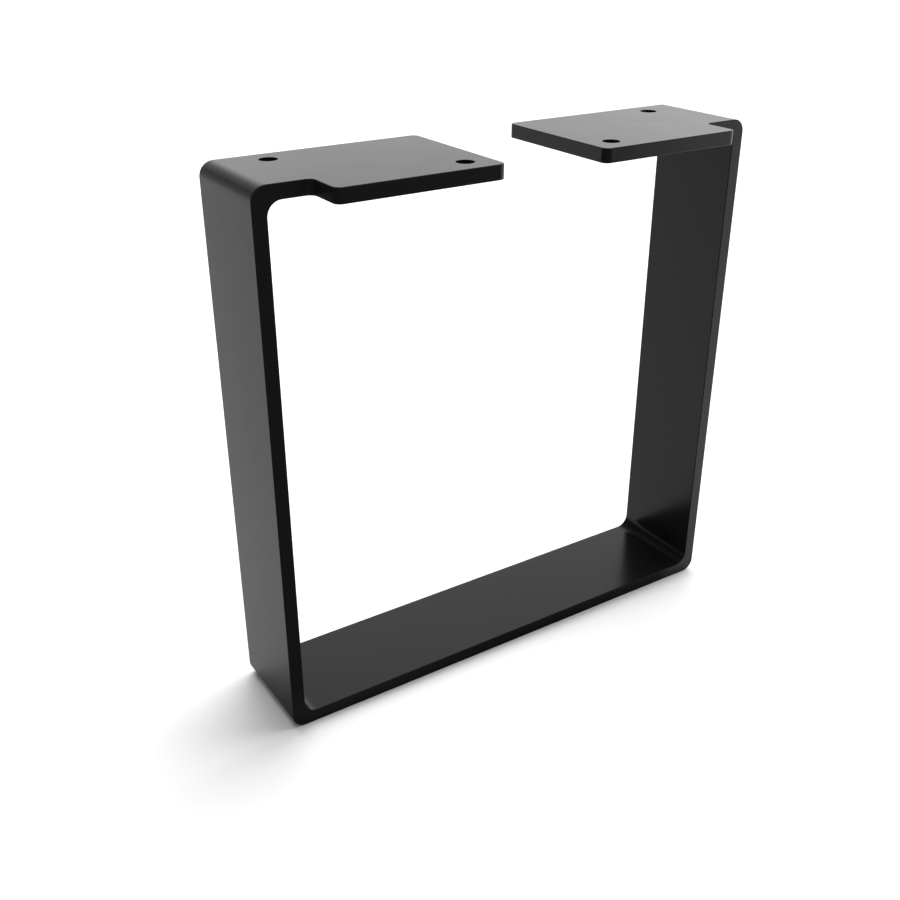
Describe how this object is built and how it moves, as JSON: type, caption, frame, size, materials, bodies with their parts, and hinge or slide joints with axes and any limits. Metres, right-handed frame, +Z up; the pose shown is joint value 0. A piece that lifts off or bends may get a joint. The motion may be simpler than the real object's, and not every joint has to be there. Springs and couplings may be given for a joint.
{
  "type": "furniture leg",
  "caption": "Flat steel bar bent into an open square loop, with a foot that lies on the floor and two stepped top plates that screw under a table or bench top.",
  "frame": {"origin": "middle of the foot's underside, on the floor", "axes": "+X across the loop from one upright to the other, +Y from the front, where the plates step out, to the back, +Z up"},
  "size_m": [0.4, 0.11, 0.4],
  "materials": {
    "powder_coated_steel": "satin black powder coat"
  },
  "bodies": {
    "root": {"leg": "powder_coated_steel"}
  },
  "joints": []
}
